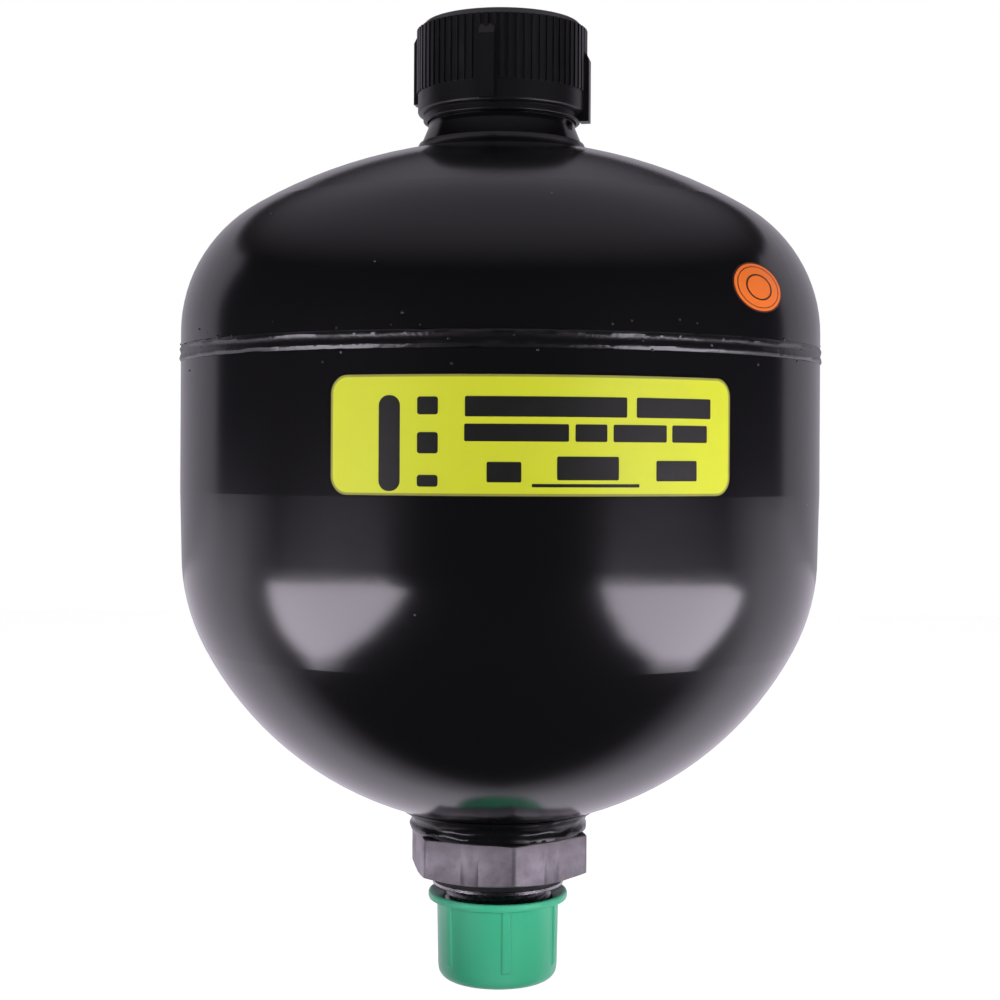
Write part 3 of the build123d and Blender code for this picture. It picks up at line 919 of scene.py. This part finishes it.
@dataclass
class GasBoss:
    """Boss dressed over its solid, with the cap's thread outside and the screw's thread inside."""

    shop: Shop
    top_r: float = 18.6 * MM
    foot_r: float = 20.9 * MM
    spigot_r: float = 17.0 * MM
    height: float = 28.3 * MM
    taper_h: float = 4.6 * MM
    sink: float = 1.0 * MM
    bore_r: float = 14.05 * MM
    bore_depth: float = 20.0 * MM
    passage_r: float = 3.0 * MM
    sleeve_r: float = 15.6 * MM
    # pitch and depth, and the outer thread's length
    outer_thread: Place = (3.0 * MM, 0.9 * MM, 15.0 * MM)
    bore_thread: Point = (1.5 * MM, 0.6 * MM)
    lead: float = 0.4

    def build(self) -> None:
        """Makes the boss's body and its two threaded sleeves."""
        low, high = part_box("gas_boss")
        pole = high.z - self.height
        pitch, depth, length = self.outer_thread
        thread_foot, floor = high.z - length, high.z - self.bore_depth
        outline = [
            (self.passage_r, low.z + 1.2 * MM), (self.spigot_r, low.z), (self.spigot_r, pole - 1.2 * MM),
            (self.foot_r, pole - 1.9 * MM), (self.foot_r, pole - self.sink),
            (self.top_r + 0.12 * MM, pole + self.taper_h - 0.3 * MM),
            (self.top_r, pole + self.taper_h + 0.4 * MM),
            (self.top_r, thread_foot - MM), (self.top_r - depth, thread_foot), (self.sleeve_r, thread_foot),
            (self.sleeve_r, floor), (self.passage_r, floor),
        ]
        body = self.shop.turned("gas_boss_body", outline, 288)
        self.shop.hang(body, "vessel", Finish.VESSEL_PAINT, "vessel_paint", "gas_boss")
        outer = self.shop.threaded("gas_boss_thread", self.top_r, depth, pitch, thread_foot, high.z,
                                   self.sleeve_r, self.lead)
        pitch, depth = self.bore_thread
        bore = self.shop.threaded("gas_boss_bore_thread", self.bore_r, -depth, pitch, floor, high.z,
                                  self.sleeve_r, self.lead)
        for sleeve in (outer, bore):
            self.shop.hang(sleeve, "vessel", Finish.PORT_STEEL, "port_steel")


@dataclass
class ThreadProtector:
    """Soft green cup over the stud: a dished flange, a drafted wall and six moulded ribs."""

    shop: Shop
    bore_r: float = 13.8 * MM
    wall: float = 1.6 * MM
    draft: float = 0.4 * MM
    floor: float = 2.4 * MM
    corner: float = 3.0 * MM
    corner_steps: int = 8
    flange_proud: float = 2.2 * MM
    flange_t: float = 2.0 * MM
    dish: float = 1.5 * MM
    ribs: int = 6
    rib_azimuth: float = 8.0
    rib_w: float = 2.2 * MM
    rib_proud: float = 0.45 * MM
    rib_short: float = 4.4 * MM
    rib_lead: float = 0.5 * MM

    def build(self) -> None:
        """Makes the cup."""
        low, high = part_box("thread_protector")
        foot, top = low.z, high.z
        mouth_r = self.bore_r + self.wall
        foot_r, rim_r = mouth_r - self.draft, mouth_r + self.flange_proud
        under, rib_foot = top - self.flange_t, foot + self.rib_short
        outline = [(0.05 * MM, foot + 0.3 * MM), (foot_r * 0.45, foot + 0.3 * MM), (foot_r * 0.5, foot)]
        for step in range(self.corner_steps + 1):
            turn = math.pi / 2 * step / self.corner_steps
            outline.append((foot_r - self.corner * (1 - math.sin(turn)),
                            foot + self.corner * (1 - math.cos(turn))))
        for level in (rib_foot - 0.6 * MM, rib_foot, rib_foot + self.rib_lead, (rib_foot + under) / 2,
                      under - 0.5 * MM):
            share = (level - foot) / (under - foot)
            outline.append((foot_r + self.draft * share, level))
        outline += [
            (mouth_r + 0.15 * MM, under - 0.15 * MM), (mouth_r + 0.5 * MM, under),
            (rim_r - 0.6 * MM, under), (rim_r - 0.15 * MM, under + 0.2 * MM), (rim_r, under + 0.65 * MM),
            (rim_r, top - 0.6 * MM), (rim_r - 0.18 * MM, top - 0.18 * MM), (rim_r - 0.6 * MM, top),
            (rim_r - 1.0 * MM, top - 0.15 * MM), (rim_r - 1.35 * MM, top - 0.5 * MM),
            (self.bore_r + 0.3 * MM, top - self.dish), (self.bore_r, top - self.dish - 0.4 * MM),
            (self.bore_r, foot + self.floor + 0.5 * MM), (self.bore_r - 0.5 * MM, foot + self.floor),
            (0.05 * MM, foot + self.floor),
        ]

        def ribbed(turn: float, radius: float, height: float) -> Point:
            """Raises the ribs on the wall.

            Args:
                turn, radius, height: A point of the plain cup.

            Returns:
                Its radius and height.
            """
            on_wall = mouth_r - 2 * self.draft < radius < mouth_r + 0.3 * MM
            if not (on_wall and rib_foot < height + 1e-6 < under):
                return radius, height
            apart = 360 / self.ribs
            from_rib = (math.degrees(turn) - self.rib_azimuth + apart / 2) % apart - apart / 2
            across = abs(math.radians(from_rib)) * radius
            rise = clamped((self.rib_w / 2 + 0.15 * MM - across) / (0.4 * MM))
            end = clamped((height - rib_foot) / self.rib_lead)
            return radius + self.rib_proud * rise * rise * (3 - 2 * rise) * end, height

        cup = self.shop.turned("protector_cup", outline, 720, ribbed)
        self.shop.hang(cup, "protector", Finish.GREEN_PLASTIC, "green_plastic", "thread_protector")


# ---------------------------------------------------------------- stickers


@dataclass
class RatingLabel:
    """Yellow label with plain bars where its print would be."""

    shop: Shop
    wall_r: float = 80.0 * MM
    face: float = 0.26 * MM
    edge_sunk: float = 0.02 * MM
    print_rise: float = 0.03 * MM
    corner: float = 4.0 * MM
    rim: float = 0.5 * MM
    # each bar: its two azimuths in degrees, its two levels and its corner in mm
    bars: tuple[tuple[float, float, float, float, float], ...] = (
        (-18.7, -15.3, -11.9, 8.4, 2.2),
        (-12.6, -9.4, 4.3, 8.1, 0.6),
        (-12.6, -9.4, -3.9, 0.6, 0.6),
        (-12.6, -9.4, -10.9, -8.4, 0.6),
        (-5.3, 19.6, 3.9, 8.2, 0.35),
        (21.2, 34.7, 3.9, 8.2, 0.35),
        (-5.4, 10.4, -1.3, 2.4, 0.35),
        (11.4, 16.4, -1.3, 2.4, 0.35),
        (17.4, 26.4, -1.3, 2.4, 0.35),
        (27.4, 34.0, -1.3, 2.4, 0.35),
        (-2.0, 3.2, -9.9, -5.6, 0.35),
        (8.6, 18.3, -9.4, -4.4, 0.35),
        (4.8, 21.7, -10.9, -10.2, 0.1),
        (24.6, 32.0, -9.6, -5.2, 0.35),
    )

    def build(self) -> None:
        """Makes the film, its cut edge and its print."""
        low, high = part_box("rating_label")
        mid = (low.z + high.z) / 2
        sides = tuple(math.degrees(math.asin(x / -low.y)) for x in (low.x, high.x))
        reach = self.wall_r + self.face
        edge = self.shop.patch("label_edge", reach - self.edge_sunk, sides, (low.z, high.z), self.corner,
                               self.face)
        self.shop.hang(edge, "vessel", Finish.LABEL_EDGE, "label_film", "rating_label")
        turn = math.degrees(self.rim / reach)
        film = self.shop.patch("label_face", reach, (sides[0] + turn, sides[1] - turn),
                               (low.z + self.rim, high.z - self.rim), self.corner - self.rim, self.face)
        self.shop.hang(film, "vessel", Finish.LABEL_FILM, "label_film")
        for number, (left, right, under, over, corner) in enumerate(self.bars):
            bar = self.shop.patch(f"label_print_{number:02d}", reach + self.print_rise, (left, right),
                                  (mid + under * MM, mid + over * MM), corner * MM, self.print_rise, 12)
            self.shop.hang(bar, "vessel", Finish.BLACK_INK, "label_film")


@dataclass
class Sticker:
    """Small round sticker on the upper shell, with plain rings for its print."""

    shop: Shop
    azimuth: float = 47.0
    wall_r: float = 80.0 * MM
    knuckle_r: float = 35.9 * MM
    wall_rise: float = 5.7 * MM
    spread: float = 0.8 * MM
    film: float = 0.06 * MM
    layer: float = 0.02 * MM
    rings: tuple[tuple[str, float, float, Finish], ...] = (
        ("sticker_edge", 0.93, 1.0, Finish.STICKER_INK),
        ("sticker_face", 0.0, 0.94, Finish.STICKER_FILM),
        ("sticker_outer_ring", 0.80, 0.83, Finish.STICKER_INK),
        ("sticker_inner_ring", 0.46, 0.52, Finish.STICKER_INK),
    )

    def build(self) -> None:
        """Lays each field of the sticker on the shell."""
        spot_low, spot_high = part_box("round_sticker")
        weld_low, weld_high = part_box("girth_weld")
        knuckle_z = (weld_low.z + weld_high.z) / 2 + self.wall_rise
        for layer, (name, inner, outer, finish) in enumerate(self.rings):
            field = self._field(name, (inner, outer), (spot_low.z, spot_high.z), knuckle_z,
                                self.film + self.layer * layer)
            nodes = ("round_sticker",) if finish is Finish.STICKER_FILM else ()
            self.shop.hang(field, "vessel", finish, "sticker_film", *nodes)

    def _on_shell(self, across: float, level: float, knuckle_z: float, rise: float) -> Vector:
        """Point over the shell's knuckle.

        Args:
            across: Distance from the sticker's middle, round the shell.
            level: Height of the point.
            knuckle_z: Level where the knuckle starts.
            rise: How far the point stands off the shell.

        Returns:
            The point.
        """
        above = level - knuckle_z
        radius = self.wall_r - self.knuckle_r + math.sqrt(self.knuckle_r**2 - above**2)
        out = bearing(self.azimuth + math.degrees(across / radius))
        lean = above / self.knuckle_r
        return out * (radius + rise * math.sqrt(1 - lean**2)) + Vector((0, 0, level + rise * lean))

    def _field(self, name: str, shares: Point, levels: Point, knuckle_z: float,
               rise: float) -> bpy.types.Object:
        """Ring or disc of the sticker.

        Args:
            name: The piece's name.
            shares: Its inner and outer edge, as shares of the sticker's size.
            levels: The sticker's lower and upper edge.
            knuckle_z: Level where the knuckle starts.
            rise: How far the field stands off the shell.

        Returns:
            The piece.
        """
        count, rings = 72, 6
        half_h, mid = (levels[1] - levels[0]) / 2, (levels[0] + levels[1]) / 2
        half_w = self._half_width()
        points = []
        for step in range(rings + 1):
            share = shares[0] + (shares[1] - shares[0]) * step / rings
            for k in range(count):
                turn = math.tau * k / count
                across, level = math.sin(turn) * share * half_w, mid + math.cos(turn) * share * half_h
                points.append(self._on_shell(across, level, knuckle_z, rise))
        faces = quads(rings + 1, count)
        if shares[0] == 0:
            faces = faces[count:] + [tuple(range(count, 2 * count))]
        return self.shop.mesh(name, points, faces, 60)

    def _half_width(self) -> float:
        """Works out the sticker's size round the shell from its solid's box.

        Returns:
            Half of its length round the shell.
        """
        low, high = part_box("round_sticker")
        middle = bearing(self.azimuth) * self.wall_r
        shown = min(high.x - middle.x, middle.x - low.x)
        return shown / math.cos(math.radians(self.azimuth)) + self.spread


# ---------------------------------------------------------------- studio


@dataclass
class Studio:
    """Camera, pale stage and soft light."""

    camera_at: Place = (0.0, -0.457, 0.1039)
    lens: float = 64.73
    shift_y: float = -0.040
    roll: float = -0.3
    pure: Colour = (1.0, 1.0, 1.0)
    white: Colour = (0.80, 0.80, 0.80)
    dark_room: Colour = (0.02, 0.019, 0.022)
    tone: Colour = (1.0, 0.925, 1.06)
    glow_floor: float = 0.90
    floor_drop: float = 36.0 * MM
    floor_in_gloss: float = 0.92
    front_in_gloss: float = 0.02
    backdrop_in_gloss: float = 0.52
    half_room: float = 3.2
    backdrop_y: float = 1.5
    backdrop_top: float = 1.75
    sheen_rise: float = 3.0 * MM
    # level, radius, brightness and the share that fades
    overhead: tuple[float, float, float, float] = (0.85, 1.3, 0.43, 0.8)
    keys: tuple[tuple[str, Place, float], ...] = (
        ("key_left", (-0.7, -0.9, 0.30), 1.9),
        ("key_right", (0.75, -0.9, 0.26), 2.9),
    )
    low_keys: tuple[Point, ...] = ((-1, 0.3), (1, 1.2))
    low_spread: float = 44.0
    # each sheet: its name, brightness, the share of it that fades, and its outline from above
    sheens: tuple[tuple[str, float, float, tuple[Point, ...]], ...] = (
        ("left_sheen", 6.0, 0.14, (
            (-0.108, -0.078), (-0.117, -0.052), (-0.200, -0.048), (-0.362, -0.054), (-0.672, -0.075),
            (-0.648, -0.196), (-0.556, -0.405), (-0.418, -0.556), (-0.236, -0.450), (-0.144, -0.241),
            (-0.116, -0.150),
        )),
        ("right_sheen", 6.0, 0.14, (
            (0.100, -0.078), (0.110, -0.150), (0.163, -0.263), (0.363, -0.590), (0.437, -0.541),
            (0.582, -0.352), (0.667, -0.092), (0.510, -0.006), (0.337, -0.020), (0.205, -0.036),
            (0.125, -0.046),
        )),
        ("left_far_sheen", 0.5, 0.3, (
            (-0.70, -0.16), (-1.34, -0.20), (-1.38, -0.62), (-1.25, -1.15), (-0.78, -1.18), (-0.44, -0.62),
            (-0.58, -0.42), (-0.68, -0.20),
        )),
        ("right_far_sheen", 0.45, 0.3, (
            (0.70, -0.10), (0.60, -0.36), (0.45, -0.56), (0.42, -0.72), (0.80, -1.18), (1.25, -1.15),
            (1.38, -0.62), (1.34, -0.10),
        )),
        ("left_outer_sheen", 0.45, 0.8, (
            (-0.70, -0.16), (-2.6, -0.3), (-2.7, -1.4), (-1.9, -2.5), (-0.8, -2.4), (-0.44, -0.62),
        )),
        ("right_outer_sheen", 0.40, 0.8, (
            (0.70, -0.10), (0.42, -0.66), (0.8, -2.4), (1.9, -2.5), (2.7, -1.4), (2.6, -0.3),
        )),
    )

    def build(self) -> None:
        """Makes the camera, the stage and the lamps."""
        self.camera()
        self.stage()
        self.lamps()

    def camera(self) -> None:
        """Level camera in front of the part."""
        data = bpy.data.cameras.new("camera")
        data.lens, data.sensor_width, data.shift_y = self.lens, 36.0, self.shift_y
        data.clip_start, data.clip_end = 0.01, 10
        camera = linked("camera", data)
        camera.location = self.camera_at
        camera.rotation_euler = (math.radians(90), math.radians(self.roll), 0)
        bpy.context.scene.camera = camera
        bpy.context.scene.view_settings.view_transform = "Standard"

    def _floor_white(self) -> bpy.types.Material:
        """White to the camera, with the part's shadow; in gloss it is bright only behind the part.

        Returns:
            The floor's material.
        """
        graph = Graph("floor_white")
        split = graph.node("ShaderNodeSeparateXYZ", {}, {0: graph.place})
        aside, back = (Value(graph, split.outputs[axis]) for axis in ("X", "Y"))
        behind = graph.ramp(back / (abs(aside) + 0.06) + 0.5, (0.30, 0), (0.66, 1))
        matt = graph.node("ShaderNodeBsdfDiffuse", {}, {0: self.white})
        pale = graph.glow(self.pure, self.glow_floor)
        seen = graph.node("ShaderNodeAddShader", {}, {0: matt.outputs[0], 1: pale.outputs[0]})
        dim = graph.glow(self.tone, self.floor_in_gloss * self.front_in_gloss)
        shiny = graph.between(behind, dim, graph.glow(self.tone, self.floor_in_gloss))
        return self._by_ray(graph, matt, seen, shiny)

    def _backdrop_white(self) -> bpy.types.Material:
        """White to the camera, softly bright in gloss.

        Returns:
            The backdrop's material.
        """
        graph = Graph("backdrop_white")
        matt = graph.node("ShaderNodeBsdfDiffuse", {}, {0: self.white})
        seen, shiny = graph.glow(self.pure, 1.0), graph.glow(self.tone, self.backdrop_in_gloss)
        return self._by_ray(graph, matt, seen, shiny)

    @staticmethod
    def _by_ray(graph: Graph, matt: bpy.types.Node, seen: bpy.types.Node,
                shiny: bpy.types.Node) -> bpy.types.Material:
        """Chooses a stage material's look by the kind of ray.

        Args:
            graph: The material's graph.
            matt: What diffuse light meets.
            seen: What the camera sees.
            shiny: What reflections show.

        Returns:
            The material.
        """
        path = graph.node("ShaderNodeLightPath").outputs
        direct = Value(graph, path["Is Camera Ray"]) + Value(graph, path["Is Transmission Ray"])
        look = graph.between(direct, graph.between(path["Is Glossy Ray"], matt, shiny), seen)
        graph.node("ShaderNodeOutputMaterial", {}, {"Surface": look.outputs[0]})
        return graph.owner

    def stage(self) -> None:
        """Floor low enough for the protector to come off downward, and a backdrop well behind."""
        level, half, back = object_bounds()[0].z - self.floor_drop, self.half_room, self.backdrop_y
        lap, reach, top = 0.02, half + 0.1, self.backdrop_top
        floor = self._sheet("floor", [(-reach, -half, level), (reach, -half, level),
                                      (reach, back + lap, level), (-reach, back + lap, level)])
        floor.data.materials.append(self._floor_white())
        wall = self._sheet("backdrop", [(-half, back, level), (half, back, level),
                                        (half, back, top), (-half, back, top)])
        wall.data.materials.append(self._backdrop_white())
        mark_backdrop(floor, wall)

    @staticmethod
    def _sheet(name: str, points: Sequence[Place],
               faces: Sequence[Sequence[int]] | None = None) -> bpy.types.Object:
        """Makes a flat sheet.

        Args:
            name: The sheet's name.
            points: Its corners.
            faces: Its faces, if it has more than one.

        Returns:
            The sheet.
        """
        data = bpy.data.meshes.new(name)
        data.from_pydata(points, [], faces or [tuple(range(len(points)))])
        data.update()
        return linked(name, data)

    @staticmethod
    def _lamp(name: str, at: Place, towards: Place, side: float, radiance: float) -> bpy.types.Object:
        """Adds a soft square lamp that doesn't show in reflections.

        Args:
            name: The lamp's name.
            at: Its middle.
            towards: A point it faces.
            side: Its side in metres.
            radiance: Its brightness.

        Returns:
            The lamp.
        """
        data = bpy.data.lights.new(name, "AREA")
        data.shape = "RECTANGLE"
        data.size = data.size_y = side
        data.energy = radiance * math.pi * side * side
        lamp = linked(name, data)
        lamp.location = at
        lamp.rotation_euler = (Vector(towards) - Vector(at)).to_track_quat("-Z", "Y").to_euler()
        lamp.visible_camera = False
        lamp.visible_glossy = False
        return lamp

    def lamps(self) -> None:
        """Soft sheets of light low at the sides and overhead, two plain keys and two low ones."""
        self._room()
        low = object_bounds()[0].z
        for name, radiance, soft, corners in self.sheens:
            self._sheen(name, radiance, soft, corners, low + self.sheen_rise)
        level, radius, radiance, soft = self.overhead
        turns = [math.tau * k / 24 for k in range(24)]
        circle = [(math.sin(turn) * radius, 0.1 - math.cos(turn) * radius) for turn in turns]
        self._sheen("overhead_sheen", radiance, soft, circle, level)
        for name, at, radiance in self.keys:
            self._lamp(name, at, (0, 0, 80 * MM), 0.6, radiance)
        for side, radiance in self.low_keys:
            lamp = self._lamp(f"low_key_{side}", (0.30 * side, -0.30, low + 40 * MM), (0, 0, -8 * MM),
                              80 * MM, radiance)
            lamp.data.spread = math.radians(self.low_spread)

    def _room(self) -> None:
        """World that is white to the camera and nearly dark to everything else."""
        graph = Graph("room", bpy.data.worlds)
        dim = graph.node("ShaderNodeBackground", {}, {0: self.dark_room})
        pale = graph.node("ShaderNodeBackground", {}, {0: self.pure})
        look = graph.between(graph.node("ShaderNodeLightPath").outputs["Is Camera Ray"], dim, pale)
        graph.node("ShaderNodeOutputWorld", {}, {"Surface": look.outputs[0]})
        bpy.context.scene.world = graph.owner

    def _sheen(self, name: str, radiance: float, soft: float, corners: Sequence[Point],
               level: float) -> None:
        """Adds a level glowing sheet that fades out at its edge and is unseen by the camera.

        Args:
            name: The sheet's name.
            radiance: Its brightness inside.
            soft: Share of the way in from the edge over which it fades.
            corners: Its outline seen from above.
            level: Its height.
        """
        middle = Vector((sum(x for x, _ in corners), sum(y for _, y in corners))) / len(corners)
        steps, count = 8, len(corners)
        points, glow = [], []
        for step in range(steps + 1):
            for corner in corners:
                at = middle + (Vector(corner) - middle) * (1 - soft * step / steps)
                points.append((at.x, at.y, level))
                glow.append((1 - math.cos(math.pi * step / steps)) / 2)
        faces = [face[::-1] for face in quads(steps + 1, count)]
        faces.append(tuple(range(steps * count, (steps + 1) * count)))
        sheet = self._sheet(name, points, faces)
        if (sheet.data.polygons[-1].normal.z > 0) == (level > self.camera_at[2]):
            sheet.data.flip_normals()
        sheet.data.attributes.new("glow", "FLOAT", "POINT").data.foreach_set("value", glow)
        sheet.data.materials.append(self._sheen_glow(name, radiance))
        sheet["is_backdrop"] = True

    def _sheen_glow(self, name: str, radiance: float) -> bpy.types.Material:
        """Makes the one-sided light of a glowing sheet.

        Args:
            name: The material's name.
            radiance: Its brightness inside.

        Returns:
            The material.
        """
        graph = Graph(name)
        inside = Value(graph, graph.node("ShaderNodeAttribute", {"attribute_name": "glow"}).outputs["Fac"])
        front = 1 - Value(graph, graph.node("ShaderNodeNewGeometry").outputs["Backfacing"])
        path = graph.node("ShaderNodeLightPath").outputs
        unseen = Value(graph, path["Is Camera Ray"]) + Value(graph, path["Is Shadow Ray"])
        lit = graph.between(inside * front, graph.glow(self.tone, 0.0), graph.glow(self.tone, radiance))
        look = graph.between(unseen, lit, graph.node("ShaderNodeBsdfTransparent"))
        graph.node("ShaderNodeOutputMaterial", {}, {"Surface": look.outputs[0]})
        return graph.owner


# ---------------------------------------------------------------- everything


NODE_FINISHES = {
    "lower_shell": Finish.VESSEL_PAINT,
    "upper_shell": Finish.VESSEL_PAINT,
    "gas_boss_weld": Finish.WELD_PAINT,
    "port_seal": Finish.SEAL_RUBBER,
    "poppet_button": Finish.POPPET_ALLOY,
    "poppet_washer": Finish.POPPET_ALLOY,
    "diaphragm_seat_ring": Finish.RING_STEEL,
    "diaphragm_clamp_ring": Finish.RING_STEEL,
    "charging_screw": Finish.SCREW_STEEL,
    "charging_screw_seal": Finish.SEAL_RUBBER,
    "gas_cap": Finish.BLACK_PLASTIC,
}


def main() -> None:
    """Builds the looks of the accumulator round its solids."""
    logging.basicConfig(level=logging.INFO, format="%(message)s")
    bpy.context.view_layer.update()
    palette = Palette()
    shop = Shop(palette)
    for node, finish in NODE_FINISHES.items():
        palette.dress_node(node, finish)
    for assembly in (Welds(shop), FluidPort(shop), ThreadProtector(shop), GasBoss(shop), Diaphragm(shop),
                     RatingLabel(shop), Sticker(shop), Studio()):
        assembly.build()


if __name__ == "__main__":
    main()
